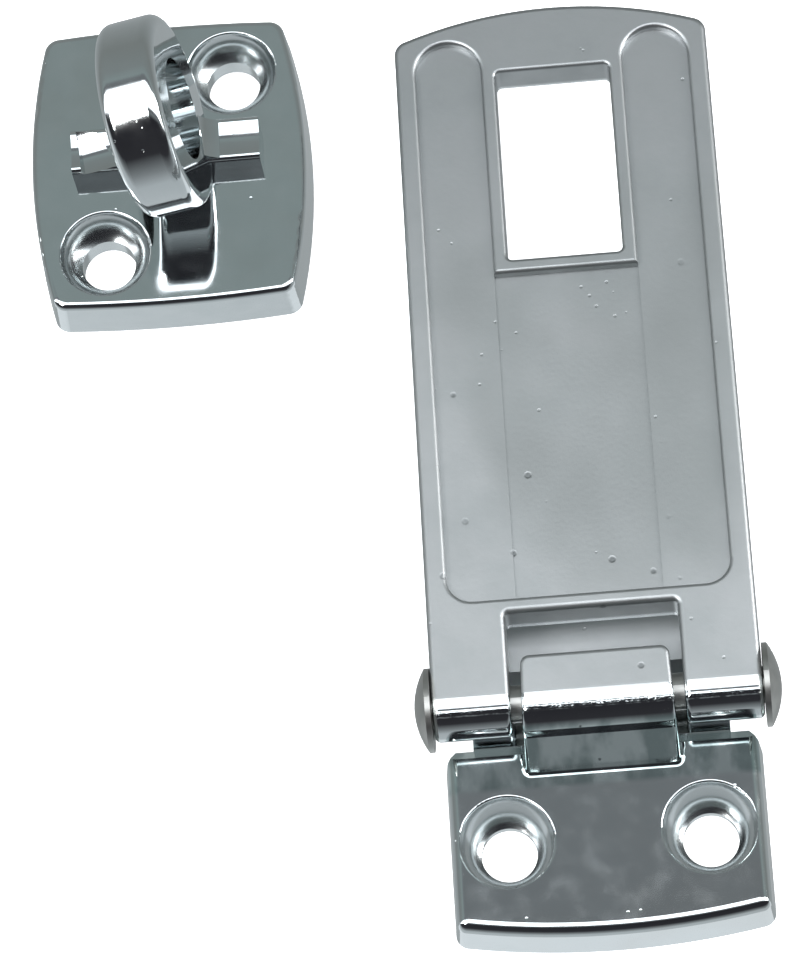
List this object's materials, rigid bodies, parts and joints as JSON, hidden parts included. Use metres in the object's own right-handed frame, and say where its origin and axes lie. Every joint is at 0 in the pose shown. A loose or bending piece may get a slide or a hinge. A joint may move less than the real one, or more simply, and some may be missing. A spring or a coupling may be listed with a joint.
{
  "type": "hasp and staple",
  "caption": "Polished cast hasp and staple: a short screw-down hinge leaf, a long slotted strap opened flat, and a loose staple plate with a padlock eye.",
  "frame": {"origin": "centre of the hinge leaf's back face, midway between its screw holes, on the plane that the leaf and the staple are screwed to", "axes": "+X along the hinge pin, +Y from the leaf along the opened strap to its tip, +Z out of the mounting surface"},
  "size_m": [0.0632, 0.0892, 0.0217],
  "materials": {
    "plated_casting": "polished",
    "rivet_steel": "brushed"
  },
  "bodies": {
    "leaf": {"hinge_leaf": "plated_casting", "hinge_pin": "rivet_steel"},
    "strap": {"strap": "plated_casting"},
    "staple": {"staple": "plated_casting"}
  },
  "joints": [
    {"name": "strap_hinge", "type": "hinge", "parent": "leaf", "child": "strap", "pos_m": [0, 0.0112, 0.0074], "axis": [1, 0, 0], "range_deg": [0, 180]},
    {"name": "staple_lift", "type": "slide", "parent": "leaf", "child": "staple", "axis": [0, 0, 1], "range_m": [0, 0.02]}
  ]
}
